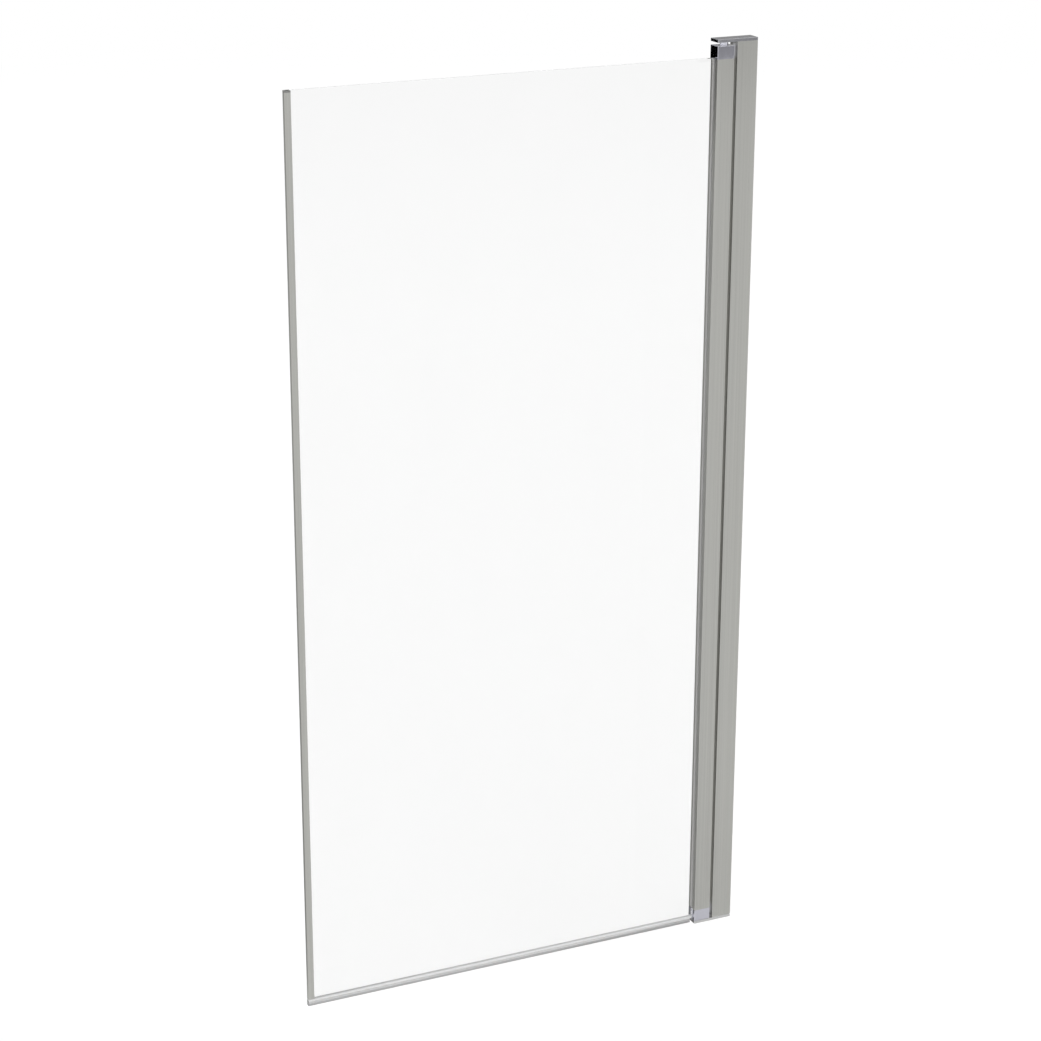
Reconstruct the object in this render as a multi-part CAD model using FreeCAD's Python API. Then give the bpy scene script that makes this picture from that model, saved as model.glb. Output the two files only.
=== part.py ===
"""Bath screen: one glass panel on a rise-and-fall pivot, beside a post that adjusts on a wall channel.

Millimetres. X runs along the screen and into the wall, Y from the room side (-Y) to the bath side (+Y),
Z up. Heights are written from the bath rim, and the finished solids are lowered by half the height, so
that the origin is the centre of the wall channel's back face.
"""

import FreeCAD, Part
import math
import os

from FreeCAD import Vector

# ---- overall size --------------------------------------------------------------------------------
HEIGHT = 1400.0
WIDTH = 715.0
DEPTH = 22.2
EXTRUSION_WALL = 1.5
EDGE_RADIUS = 0.5
END_RADIUS = 0.3

# ---- post, pivot profile and the gap between them ------------------------------------------------
POST_W = 33.0
HINGE_GAP = 4.8
PIVOT_W = 27.0
PIVOT_RIGHT = -(POST_W + HINGE_GAP)
PIVOT_LEFT = PIVOT_RIGHT - PIVOT_W
AXIS_X = (PIVOT_LEFT + PIVOT_RIGHT) / 2 + 2.0

# ---- heights above the rim -----------------------------------------------------------------------
PLATE_T = 4.4
BOTTOM_PLATE_H = PLATE_T
TOP_PLATE_Z = HEIGHT - PLATE_T
POST_PAD_H = 0.8
POST_PAD_INSET = 1.0
BLOCK_GAP = 0.6
BLOCK_H = 18.5
BOTTOM_BLOCK_Z = BOTTOM_PLATE_H + BLOCK_GAP
BOTTOM_BLOCK_TOP = BOTTOM_BLOCK_Z + BLOCK_H
TOP_BLOCK_TOP = 1390.4
PROFILE_TOP = TOP_BLOCK_TOP - BLOCK_H

# ---- movement ------------------------------------------------------------------------------------
RISE = 4.5
RISE_ANGLE = 90.0
ADJUSTMENT = 15.0

# ---- wall channel --------------------------------------------------------------------------------
CHANNEL_DEPTH = 18.6
CHANNEL_LEG = 24.5
CHANNEL_BACK = 2.0
CHANNEL_WALL = 1.6
CHANNEL_END_GAP = 1.0
WALL_HOLE_R = 2.75
WALL_HOLE_PITCH = 430.0
WALL_HOLE_COUNT = 4

# ---- clamping screws -----------------------------------------------------------------------------
CLAMP_HEIGHTS = (150.0, 700.0, 1250.0)
CLAMP_X = -5.5
CLAMP_R = 1.9
CLAMP_HOLE_R = 2.1
CLAMP_SLOT_R = 2.3
CLAMP_HEAD_R = 3.6
CLAMP_HEAD_H = 2.2
CLAMP_TIP_Y = 4.2
NUT_W = 6.4
NUT_LENGTH = 12.0
NUT_T = 3.0
CAP_R = 5.4
CAP_H = 3.0
CAP_WALL = 0.7

# ---- countersunk screws: radius of shank, port, port boss, head and depth of head ----------------
SCREW_R = 1.25
PORT_R = 1.3
PORT_BOSS_R = 2.6
SCREW_HOLE_R = 1.5
HEAD_R = 2.6
HEAD_H = 1.6
SCREW_LENGTH = 30.0
DRIVE_R = 1.2
DRIVE_DEPTH = 1.0
POST_PORTS = ((-28.6, -6.8), (-28.6, 6.8))
PIVOT_PORTS = ((PIVOT_LEFT + 4.6, -7.05), (PIVOT_RIGHT - 3.0, 8.1))

# ---- glazing pocket in the pivot profile ---------------------------------------------------------
GLASS_T = 5.0
GLASS_ARRIS = 0.5
POCKET_DEPTH = 13.0
POCKET_FRONT = -3.0
POCKET_REAR = 8.0
POCKET_WEB = 1.4
PACKER_T = 1.5
PACKER_LENGTH = 60.0
PACKER_HEIGHTS = (100.0, 700.0, 1300.0)
GLASS_TOP = 1373.2
GLASS_BOTTOM = 8.4
GLASS_RIGHT = PIVOT_LEFT + POCKET_DEPTH - PACKER_T
NOTCH_GAP = 0.5
SLOT_TOP = 1373.5
SLOT_W = 5.6

# ---- edge trim -----------------------------------------------------------------------------------
TRIM_W = 9.3
TRIM_DEPTH = 7.0
TRIM_WEB = 1.4
TRIM_BEAD = 1.0
TRIM_BOTTOM = 10.7
TRIM_CAP_Z = 1370.2
TRIM_CAP_TOP = 1373.0
TRIM_CAP_ROUND = 0.3
TRIM_ROUND = 0.4
TRIM_PEG = 8.0
TRIM_PEG_GAP = 0.1

# ---- bottom seal ---------------------------------------------------------------------------------
SEAL_TOP = 14.5
SEAL_REAR_TOP = 12.0
SEAL_JAW_OUT = 3.6
SEAL_WEB_BOTTOM = 7.0
SEAL_BULB_R = 3.5
SEAL_BULB_WALL = 0.8
SEAL_UNDER_TRIM = 10.4
SEAL_SWEEP_R = 19.6

# ---- bottom pivot --------------------------------------------------------------------------------
PIN_R = 5.0
PIN_BOTTOM = 1.0
PIN_TOP = BOTTOM_BLOCK_TOP - 1.2
CAM_OUT = 8.0
CAM_BASE = 3.0
CAM_RAMP_ANGLE = 100.0
CAM_STARTS = (20.0, 200.0)
CAM_GAP = 0.3
CAM_STEP_GAP = 3.0
CAM_MARGIN = 0.5
CAM_LUG_W = 2.4
CAM_LUG_H = 1.5
LIFT_CAM_OUT = 8.3
LIFT_CAM_TOP = BOTTOM_BLOCK_TOP - 1.4
LIFT_KEY_W = 2.5
LIFT_KEY_OUT = 9.3
RUNNING_GAP = 0.05
PIN_WELL_TOP = BOTTOM_BLOCK_TOP - 0.6

# ---- top pivot -----------------------------------------------------------------------------------
TOP_PIN_R = 6.0
TOP_PIN_BOTTOM = 1379.2
TOP_PIN_SHOULDER = 1395.1
KEY_FLAT_TOP = 1390.0
KEY_FLAT_Y = 4.5
BUSH_OUT = 8.0
BUSH_BOTTOM = 1374.6
BUSH_KEY_TOP = 1385.0
NECK_R = 4.0
NECK_TOP = 1398.9
BEARING_OUT = 5.0
BEARING_FLANGE_R = 6.5
BEARING_FLANGE_T = 0.4
BEARING_TOP = 1397.8
CLIP_BOTTOM = 1397.9
CLIP_T = 0.8
CLIP_R = 6.0
CLIP_GROOVE_R = 3.3
CLIP_RECESS_R = 6.8
COVER_SKIN = 1.0
COVER_SKIRT = 1.2

FAR = 4000.0


# ---- small helpers -------------------------------------------------------------------------------
def block(x0, x1, y0, y1, z0, z1):
    """Box between two corners."""
    return Part.makeBox(x1 - x0, y1 - y0, z1 - z0, Vector(x0, y0, z0))


def rounded_bar(x0, x1, y0, y1, z0, z1, radius=EDGE_RADIUS):
    """Upright bar with rounded long edges."""
    bar = block(x0, x1, y0, y1, z0, z1)
    upright = [e for e in bar.Edges if abs(e.tangentAt(e.FirstParameter).z) > 0.9]
    return bar.makeFillet(radius, upright)


def softened(bar, heights, radius=END_RADIUS):
    """Bar with the outline of its faces at these heights rounded as well."""
    outline = [
        e for e in bar.Edges
        if any(abs(e.BoundBox.ZMin - z) < 1e-6 and abs(e.BoundBox.ZMax - z) < 1e-6 for z in heights)
    ]
    return bar.makeFillet(radius, outline)


def rod(x, y, z0, z1, radius):
    """Upright cylinder."""
    return Part.makeCylinder(radius, z1 - z0, Vector(x, y, z0))


def rod_y(x, z, y0, y1, radius):
    """Cylinder along Y."""
    return Part.makeCylinder(radius, y1 - y0, Vector(x, y0, z), Vector(0, 1, 0))


def tube(x, y, z0, z1, outer, inner):
    """Upright ring."""
    return rod(x, y, z0, z1, outer).cut(rod(x, y, z0, z1, inner))


def turned(shape, degrees):
    """Shape turned about the pivot axis."""
    copy = shape.copy()
    copy.rotate(Vector(AXIS_X, 0, 0), Vector(0, 0, 1), degrees)
    return copy


def moved(shape, x=0.0, y=0.0, z=0.0):
    """Shape shifted by a distance."""
    copy = shape.copy()
    copy.translate(Vector(x, y, z))
    return copy


def countersunk(x, y, z, down):
    """Countersunk screw whose head is flush with height z, pointing down or up, and the hole it needs."""
    sense = -1.0 if down else 1.0
    along = Vector(0, 0, sense)
    top = Vector(x, y, z)
    head = Part.makeCone(HEAD_R, SCREW_R, HEAD_H, top, along)
    shank = Part.makeCylinder(SCREW_R, SCREW_LENGTH, top, along)
    drive = Part.makeCylinder(DRIVE_R, DRIVE_DEPTH, top, along)
    sink = Part.makeCone(HEAD_R, SCREW_R, HEAD_H, top, along)
    hole = Part.makeCylinder(SCREW_HOLE_R, SCREW_LENGTH, top, along)
    return head.fuse(shank).cut(drive).removeSplitter(), sink.fuse(hole)


# ---- fixed to the wall ---------------------------------------------------------------------------
def wall_channel():
    """U channel with four wall holes in its back and a clamping slot for each screw in its rear leg."""
    half = CHANNEL_DEPTH / 2
    z0 = BOTTOM_PLATE_H + CHANNEL_END_GAP
    z1 = TOP_PLATE_Z - CHANNEL_END_GAP
    channel = block(-CHANNEL_LEG, 0, -half, half, z0, z1)
    inside = half - CHANNEL_WALL
    channel = channel.cut(block(-FAR, -CHANNEL_BACK, -inside, inside, z0, z1))
    for i in range(WALL_HOLE_COUNT):
        z = HEIGHT / 2 + (i - (WALL_HOLE_COUNT - 1) / 2) * WALL_HOLE_PITCH
        channel = channel.cut(
            Part.makeCylinder(WALL_HOLE_R, CHANNEL_BACK, Vector(-CHANNEL_BACK, 0, z), Vector(1, 0, 0))
        )
    for z in CLAMP_HEIGHTS:
        near = rod_y(CLAMP_X, z, inside, half, CLAMP_SLOT_R)
        far = rod_y(CLAMP_X - ADJUSTMENT, z, inside, half, CLAMP_SLOT_R)
        between = block(CLAMP_X - ADJUSTMENT, CLAMP_X, inside, half, z - CLAMP_SLOT_R, z + CLAMP_SLOT_R)
        channel = channel.cut(near.fuse([far, between]))
    return channel.removeSplitter()


# ---- post ----------------------------------------------------------------------------------------
def wall_profile():
    """Post: open towards the wall, with two screw ports behind its left face."""
    half = DEPTH / 2
    z0, z1 = BOTTOM_PLATE_H + POST_PAD_H, TOP_PLATE_Z
    post = rounded_bar(-POST_W, 0, -half, half, z0, z1)
    inside = half - EXTRUSION_WALL
    post = post.cut(block(-POST_W + EXTRUSION_WALL, FAR, -inside, inside, z0, z1))
    for x, y in POST_PORTS:
        boss = rod(x, y, z0, z1, PORT_BOSS_R)
        side = math.copysign(1, y)
        web = block(-POST_W + EXTRUSION_WALL, x, min(y, side * inside), max(y, side * inside), z0, z1)
        post = post.fuse([boss, web])
    for x, y in POST_PORTS:
        post = post.cut(rod(x, y, z0, z1, PORT_R))
    for z in CLAMP_HEIGHTS:
        post = post.cut(rod_y(CLAMP_X, z, inside, half, CLAMP_HOLE_R))
    return post.removeSplitter()


def adjust_screws():
    """Pan head screws through the back of the post into the slot nuts."""
    half = DEPTH / 2
    screws = []
    for z in CLAMP_HEIGHTS:
        head = rod_y(CLAMP_X, z, half, half + CLAMP_HEAD_H, CLAMP_HEAD_R)
        rim = [e for e in head.Edges if e.Length > 1 and abs(e.BoundBox.YMin - half - CLAMP_HEAD_H) < 1e-6]
        head = head.makeFillet(1.0, rim)
        shank = rod_y(CLAMP_X, z, CLAMP_TIP_Y, half, CLAMP_R)
        slot_y = half + CLAMP_HEAD_H - DRIVE_DEPTH
        drive = block(CLAMP_X - 2.4, CLAMP_X + 2.4, slot_y, FAR, z - 0.5, z + 0.5)
        screws.append(head.fuse(shank).cut(drive).removeSplitter())
    return Part.Compound(screws)


def adjust_nuts():
    """Slot nuts inside the channel, behind its rear leg."""
    top = CHANNEL_DEPTH / 2 - CHANNEL_WALL
    nuts = []
    for z in CLAMP_HEIGHTS:
        x0, x1 = CLAMP_X - NUT_W / 2, CLAMP_X + NUT_W / 2
        nut = block(x0, x1, top - NUT_T, top, z - NUT_LENGTH / 2, z + NUT_LENGTH / 2)
        nuts.append(nut.cut(rod_y(CLAMP_X, z, top - NUT_T, top, CLAMP_R)))
    return Part.Compound(nuts)


def adjust_screw_caps():
    """Snap-on caps over the screw heads."""
    half = DEPTH / 2
    caps = []
    for z in CLAMP_HEIGHTS:
        cap = rod_y(CLAMP_X, z, half, half + CAP_H, CAP_R)
        rim = [e for e in cap.Edges if e.Length > 1 and abs(e.BoundBox.YMin - half - CAP_H) < 1e-6]
        cap = cap.makeFillet(1.2, rim)
        caps.append(cap.cut(rod_y(CLAMP_X, z, half, half + CAP_H - CAP_WALL, CAP_R - 1.2)))
    return Part.Compound(caps)


def top_bracket():
    """Plate under the cover, screwed to the post and carrying the top pin's bearing."""
    half = DEPTH / 2 - COVER_SKIRT
    top = HEIGHT - COVER_SKIN
    plate = block(PIVOT_LEFT + COVER_SKIRT, -COVER_SKIRT, -half, half, TOP_PLATE_Z, top)
    plate = plate.cut(rod(AXIS_X, 0, TOP_PLATE_Z, top, BEARING_OUT))
    plate = plate.cut(rod(AXIS_X, 0, BEARING_TOP, top, CLIP_RECESS_R))
    for x, y in POST_PORTS:
        plate = plate.cut(countersunk(x, y, top, True)[1])
    return plate.removeSplitter()


def top_bracket_screws():
    """Two countersunk screws down into the post's ports."""
    return Part.Compound([countersunk(x, y, HEIGHT - COVER_SKIN, True)[0] for x, y in POST_PORTS])


def top_cover():
    """Thin cover with a skirt all round, which hides the bracket and its screws."""
    half = DEPTH / 2
    shell = softened(rounded_bar(PIVOT_LEFT, 0, -half, half, TOP_PLATE_Z, HEIGHT), [HEIGHT])
    inner = half - COVER_SKIRT
    room = block(PIVOT_LEFT + COVER_SKIRT, -COVER_SKIRT, -inner, inner, TOP_PLATE_Z, HEIGHT - COVER_SKIN)
    return shell.cut(room).removeSplitter()


def pin_bearing():
    """Flanged bearing in the top bracket."""
    barrel = rod(AXIS_X, 0, TOP_PLATE_Z, BEARING_TOP, BEARING_OUT)
    flange = rod(AXIS_X, 0, TOP_PLATE_Z - BEARING_FLANGE_T, TOP_PLATE_Z, BEARING_FLANGE_R)
    bore = rod(AXIS_X, 0, TOP_PLATE_Z - BEARING_FLANGE_T, BEARING_TOP, NECK_R + RUNNING_GAP)
    return barrel.fuse(flange).cut(bore).removeSplitter()


def cam_lugs():
    """Two lugs that key the fixed cam into the bottom bracket."""
    lugs = []
    for sense in (-1, 1):
        inner, outer = sorted((sense * (PIN_R + 0.6), sense * (CAM_OUT - 0.4)))
        lugs.append(
            block(
                AXIS_X + inner,
                AXIS_X + outer,
                -CAM_LUG_W / 2,
                CAM_LUG_W / 2,
                BOTTOM_PLATE_H - CAM_LUG_H,
                BOTTOM_PLATE_H,
            )
        )
    return lugs


def bottom_bracket():
    """Plate on the bath rim, with the bottom pin's hole and a low pad just inside the post's outline."""
    half = DEPTH / 2
    plate = softened(rounded_bar(PIVOT_LEFT, 0, -half, half, 0, BOTTOM_PLATE_H), [0, BOTTOM_PLATE_H])
    pad_half = half - POST_PAD_INSET
    pad_top = BOTTOM_PLATE_H + POST_PAD_H
    pad = block(-POST_W + POST_PAD_INSET, -POST_PAD_INSET, -pad_half, pad_half, BOTTOM_PLATE_H, pad_top)
    plate = plate.fuse(pad)
    plate = plate.cut(rod(AXIS_X, 0, PIN_BOTTOM, BOTTOM_PLATE_H, PIN_R))
    plate = plate.cut(cam_lugs()[0]).cut(cam_lugs()[1])
    for x, y in POST_PORTS:
        plate = plate.cut(countersunk(x, y, 0, False)[1])
    return plate.removeSplitter()


def bottom_bracket_screws():
    """Two countersunk screws up into the post's ports."""
    return Part.Compound([countersunk(x, y, 0, False)[0] for x, y in POST_PORTS])


def bottom_pin():
    """Pivot pin pressed into the bottom bracket."""
    pin = rod(AXIS_X, 0, PIN_BOTTOM, PIN_TOP, PIN_R)
    return pin.makeChamfer(0.6, [e for e in pin.Edges if abs(e.BoundBox.ZMin - PIN_TOP) < 1e-6])


def cam_ramps(inner, outer, base_z):
    """Two ramps about the axis that climb RISE in RISE_ANGLE, standing on a ring whose top is at base_z."""
    pitch = RISE * 360.0 / RISE_ANGLE
    climb = pitch * CAM_RAMP_ANGLE / 360.0
    middle = (inner + outer) / 2
    spine = Part.Wire(Part.makeHelix(pitch, climb, middle).Edges)
    near, away = inner - CAM_MARGIN, outer + CAM_MARGIN
    corners = [
        Vector(near, 0, -climb - 1),
        Vector(away, 0, -climb - 1),
        Vector(away, 0, 0),
        Vector(near, 0, 0),
        Vector(near, 0, -climb - 1),
    ]
    ramp = spine.makePipeShell([Part.makePolygon(corners)], True, True)
    ramp = moved(ramp, AXIS_X, 0, base_z)
    ring = tube(AXIS_X, 0, base_z, base_z + climb + 1, outer, inner)
    return [turned(ramp, start).common(ring) for start in CAM_STARTS]


def fixed_cam():
    """Ramped ring on the bottom bracket, on which the door climbs as it opens."""
    base_top = BOTTOM_PLATE_H + CAM_BASE
    ring = tube(AXIS_X, 0, BOTTOM_PLATE_H, base_top, CAM_OUT, PIN_R)
    return ring.fuse(cam_ramps(PIN_R, CAM_OUT, base_top) + cam_lugs()).removeSplitter()


# ---- top pivot -----------------------------------------------------------------------------------
def top_pin():
    """Pin with a neck in the top bearing and two flats that key it to the door's top bush."""
    body = rod(AXIS_X, 0, TOP_PIN_BOTTOM, TOP_PIN_SHOULDER, TOP_PIN_R)
    neck = rod(AXIS_X, 0, TOP_PIN_SHOULDER, NECK_TOP, NECK_R)
    pin = body.fuse(neck)
    pin = pin.cut(tube(AXIS_X, 0, CLIP_BOTTOM, CLIP_BOTTOM + CLIP_T, NECK_R + 1, CLIP_GROOVE_R))
    for y0, y1 in ((KEY_FLAT_Y, FAR), (-FAR, -KEY_FLAT_Y)):
        pin = pin.cut(block(AXIS_X - FAR, AXIS_X + FAR, y0, y1, TOP_PIN_BOTTOM, KEY_FLAT_TOP))
    return pin.removeSplitter()


def pin_clip():
    """Open spring clip in the pin's groove."""
    clip = tube(AXIS_X, 0, CLIP_BOTTOM, CLIP_BOTTOM + CLIP_T, CLIP_R, CLIP_GROOVE_R)
    mouth = block(AXIS_X, AXIS_X + CLIP_R, -CLIP_GROOVE_R * 0.8, CLIP_GROOVE_R * 0.8, CLIP_BOTTOM, NECK_TOP)
    return clip.cut(mouth)


# ---- door ----------------------------------------------------------------------------------------
def pivot_profile():
    """Profile with a glazing pocket on its left, a hollow front jaw and a hollow box towards the post."""
    half = DEPTH / 2
    z0, z1 = BOTTOM_BLOCK_TOP, PROFILE_TOP
    outside = rounded_bar(PIVOT_LEFT, PIVOT_RIGHT, -half, half, z0, z1)
    pocket_end = PIVOT_LEFT + POCKET_DEPTH
    bar = outside.cut(block(-FAR, pocket_end, POCKET_FRONT, POCKET_REAR, z0, z1))
    inside = half - EXTRUSION_WALL
    jaw = block(
        PIVOT_LEFT + EXTRUSION_WALL, pocket_end - EXTRUSION_WALL, -inside, POCKET_FRONT - POCKET_WEB, z0, z1
    )
    box = block(pocket_end + POCKET_WEB, PIVOT_RIGHT - EXTRUSION_WALL, -inside, inside, z0, z1)
    bar = bar.cut(jaw).cut(box)
    for x, y in PIVOT_PORTS:
        bar = bar.fuse(rod(x, y, z0, z1, PORT_BOSS_R).common(outside))
    for x, y in PIVOT_PORTS:
        bar = bar.cut(rod(x, y, z0, z1, PORT_R))
    return bar.removeSplitter()


def top_block():
    """Block on the profile's top end, bored for the bush and slotted over the glass."""
    half = DEPTH / 2
    body = rounded_bar(PIVOT_LEFT, PIVOT_RIGHT, -half, half, PROFILE_TOP, TOP_BLOCK_TOP)
    body = softened(body, [TOP_BLOCK_TOP])
    body = body.cut(rod(AXIS_X, 0, BUSH_BOTTOM, TOP_BLOCK_TOP, BUSH_OUT))
    body = body.cut(block(-FAR, GLASS_RIGHT + 0.5, -SLOT_W / 2, SLOT_W / 2, PROFILE_TOP, SLOT_TOP))
    for x, y in PIVOT_PORTS:
        body = body.cut(countersunk(x, y, TOP_BLOCK_TOP, True)[1])
    return body.removeSplitter()


def top_block_screws():
    """Two countersunk screws down into the profile's ports."""
    return Part.Compound([countersunk(x, y, TOP_BLOCK_TOP, True)[0] for x, y in PIVOT_PORTS])


def top_bush():
    """Bush that slides on the top pin, with a round mouth and a keyed bore below it."""
    bush = rod(AXIS_X, 0, BUSH_BOTTOM, TOP_BLOCK_TOP, BUSH_OUT)
    bore_r = TOP_PIN_R + RUNNING_GAP
    key_y = KEY_FLAT_Y + RUNNING_GAP
    keyed = rod(AXIS_X, 0, BUSH_BOTTOM, BUSH_KEY_TOP, bore_r)
    keyed = keyed.common(block(-FAR, FAR, -key_y, key_y, BUSH_BOTTOM, BUSH_KEY_TOP))
    return bush.cut(rod(AXIS_X, 0, BUSH_KEY_TOP, TOP_BLOCK_TOP, bore_r)).cut(keyed).removeSplitter()


def lift_key(outer):
    """Key on the bath side of the lift cam, which stops it turning in the bottom block."""
    return block(
        AXIS_X - LIFT_KEY_W / 2,
        AXIS_X + LIFT_KEY_W / 2,
        CAM_OUT,
        outer,
        BOTTOM_PLATE_H + CAM_BASE + RISE + 2,
        LIFT_CAM_TOP,
    )


def bottom_block():
    """Block under the profile, bored for both cams and the pin."""
    half = DEPTH / 2
    z0 = BOTTOM_BLOCK_Z
    body = rounded_bar(PIVOT_LEFT, PIVOT_RIGHT, -half, half, z0, BOTTOM_BLOCK_TOP)
    body = softened(body, [z0])
    body = body.cut(rod(AXIS_X, 0, z0, LIFT_CAM_TOP, LIFT_CAM_OUT))
    body = body.cut(rod(AXIS_X, 0, z0, PIN_WELL_TOP, PIN_R + 0.5))
    body = body.cut(lift_key(LIFT_KEY_OUT))
    for x, y in PIVOT_PORTS:
        body = body.cut(countersunk(x, y, z0, False)[1])
    return body.removeSplitter()


def bottom_block_screws():
    """Two countersunk screws up into the profile's ports."""
    return Part.Compound([countersunk(x, y, BOTTOM_BLOCK_Z, False)[0] for x, y in PIVOT_PORTS])


def lift_cam():
    """Bush in the bottom block whose underside rides on the fixed cam's ramps."""
    bore = PIN_R + RUNNING_GAP
    base_top = BOTTOM_PLATE_H + CAM_BASE
    body = tube(AXIS_X, 0, base_top + CAM_GAP, LIFT_CAM_TOP, LIFT_CAM_OUT, bore)
    ramps = cam_ramps(bore - CAM_MARGIN, LIFT_CAM_OUT + CAM_MARGIN, base_top)
    for ramp in ramps:
        raised = moved(ramp, z=CAM_GAP)
        body = body.cut(raised).cut(turned(raised, CAM_STEP_GAP))
    return body.fuse(lift_key(LIFT_KEY_OUT)).removeSplitter()


def glass_pane():
    """Toughened pane, notched above the bottom block, with its arrises taken off."""
    left = -WIDTH + TRIM_WEB + TRIM_BEAD
    pane = block(left, GLASS_RIGHT, -GLASS_T / 2, GLASS_T / 2, GLASS_BOTTOM, GLASS_TOP)
    notch = block(
        PIVOT_LEFT - NOTCH_GAP, FAR, -GLASS_T, GLASS_T, GLASS_BOTTOM, BOTTOM_BLOCK_TOP + NOTCH_GAP
    )
    pane = pane.cut(notch)
    arris = [e for e in pane.Edges if abs(e.BoundBox.YMax - e.BoundBox.YMin) < 1e-6]
    return pane.makeChamfer(GLASS_ARRIS, arris)


def front_gasket():
    """Strip between the front jaw and the glass."""
    return block(
        PIVOT_LEFT, GLASS_RIGHT, POCKET_FRONT, -GLASS_T / 2, BOTTOM_BLOCK_TOP + NOTCH_GAP, PROFILE_TOP
    )


def rear_gasket():
    """Wedge gasket between the glass and the rear lip, with a bead that stands on the glass."""
    z0, z1 = BOTTOM_BLOCK_TOP + NOTCH_GAP, PROFILE_TOP
    corners = [
        Vector(PIVOT_LEFT + 0.2, GLASS_T / 2, z0),
        Vector(PIVOT_LEFT + 0.2, POCKET_REAR, z0),
        Vector(PIVOT_LEFT + POCKET_DEPTH - 2, POCKET_REAR, z0),
        Vector(PIVOT_LEFT + POCKET_DEPTH - 5, GLASS_T / 2, z0),
        Vector(PIVOT_LEFT + 0.2, GLASS_T / 2, z0),
    ]
    return Part.Face(Part.makePolygon(corners)).extrude(Vector(0, 0, z1 - z0))


def glass_packers():
    """Packers between the glass edge and the end of the pocket."""
    end = PIVOT_LEFT + POCKET_DEPTH
    packers = []
    for z in PACKER_HEIGHTS:
        packers.append(
            block(GLASS_RIGHT, end, -GLASS_T / 2, GLASS_T / 2, z - PACKER_LENGTH / 2, z + PACKER_LENGTH / 2)
        )
    return Part.Compound(packers)


def trim_section(z0, z1, web):
    """Upright channel round the free edge of the glass."""
    half = TRIM_DEPTH / 2
    bar = rounded_bar(-WIDTH, -WIDTH + TRIM_W, -half, half, z0, z1, TRIM_ROUND)
    return bar.cut(block(-WIDTH + web, FAR, -GLASS_T / 2, GLASS_T / 2, z0, z1))


def edge_trim():
    """Slim channel on the free edge."""
    return trim_section(TRIM_BOTTOM, TRIM_CAP_Z, TRIM_WEB)


def trim_bead():
    """Silicone between the trim's web and the glass edge."""
    x0 = -WIDTH + TRIM_WEB
    z1 = TRIM_CAP_Z - TRIM_PEG - TRIM_PEG_GAP
    return block(x0, x0 + TRIM_BEAD, -GLASS_T / 2, GLASS_T / 2, TRIM_BOTTOM, z1)


def trim_top_cap():
    """Cap over the trim's cut end, with a peg inside the channel."""
    cap = trim_section(TRIM_CAP_Z, TRIM_CAP_TOP, TRIM_WEB + TRIM_BEAD)
    cap = softened(cap, [TRIM_CAP_TOP], TRIM_CAP_ROUND)
    x0 = -WIDTH + TRIM_WEB + TRIM_PEG_GAP
    peg = block(
        x0,
        x0 + TRIM_BEAD - 2 * TRIM_PEG_GAP,
        -GLASS_T / 2 + TRIM_PEG_GAP,
        GLASS_T / 2 - TRIM_PEG_GAP,
        TRIM_CAP_Z - TRIM_PEG,
        TRIM_CAP_Z,
    )
    return cap.fuse(peg).removeSplitter()


def bottom_seal():
    """Clip round the glass's bottom edge, lower on the bath side, with a hollow bulb under it.

    The jaws are cut back where the trim stands, and the bulb where it would sweep the bracket's corner.
    """
    x0, x1 = -WIDTH, PIVOT_LEFT - NOTCH_GAP
    clip = block(x0, x1, -SEAL_JAW_OUT, SEAL_JAW_OUT, SEAL_WEB_BOTTOM, SEAL_TOP)
    clip = clip.cut(block(x0, x1, GLASS_T / 2, SEAL_JAW_OUT, SEAL_REAR_TOP, SEAL_TOP))
    clip = clip.cut(block(x0, x1, -GLASS_T / 2, GLASS_T / 2, GLASS_BOTTOM, SEAL_TOP))
    bulb = Part.makeCylinder(SEAL_BULB_R, x1 - x0, Vector(x0, 0, SEAL_BULB_R), Vector(1, 0, 0))
    bulb = bulb.fuse(block(x0, x1, -SEAL_BULB_R, SEAL_BULB_R, SEAL_BULB_R, SEAL_WEB_BOTTOM))
    seal = clip.fuse(bulb)
    bore_r = SEAL_BULB_R - SEAL_BULB_WALL
    seal = seal.cut(Part.makeCylinder(bore_r, x1 - x0, Vector(x0, 0, SEAL_BULB_R), Vector(1, 0, 0)))
    under_trim = block(x0, -WIDTH + TRIM_W + 0.2, -FAR, FAR, SEAL_UNDER_TRIM, SEAL_TOP)
    beside_bracket = block(AXIS_X - SEAL_SWEEP_R, x1, -FAR, FAR, 0, SEAL_WEB_BOTTOM)
    return seal.cut(under_trim).cut(beside_bracket).removeSplitter()


PIECES = (
    wall_channel,
    wall_profile,
    adjust_screws,
    adjust_nuts,
    adjust_screw_caps,
    top_bracket,
    top_bracket_screws,
    top_cover,
    pin_bearing,
    bottom_bracket,
    bottom_bracket_screws,
    bottom_pin,
    fixed_cam,
    top_pin,
    pin_clip,
    pivot_profile,
    top_block,
    bottom_block,
    top_block_screws,
    bottom_block_screws,
    top_bush,
    lift_cam,
    glass_pane,
    front_gasket,
    rear_gasket,
    glass_packers,
    edge_trim,
    trim_bead,
    trim_top_cap,
    bottom_seal,
)


def main():
    """Builds every piece, lowers it to the origin and writes its file."""
    os.makedirs("parts", exist_ok=True)
    for piece in PIECES:
        shape = moved(piece(), z=-HEIGHT / 2)
        shape.exportStep("parts/" + piece.__name__ + ".step")
        box = shape.BoundBox
        print(
            piece.__name__,
            "solids", len(shape.Solids),
            "valid", shape.isValid(),
            "volume", round(shape.Volume, 1),
            "size", round(box.XLength, 2), round(box.YLength, 2), round(box.ZLength, 2),
        )


main()
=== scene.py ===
"""Bath screen: finishes, seal, gaskets, screws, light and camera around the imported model.

Metres throughout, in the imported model's frame: X runs along the screen and into the wall, -Y is
the room side and +Y the bath side, Z is up, and the origin is the middle of the wall channel's
back face.
"""

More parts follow.
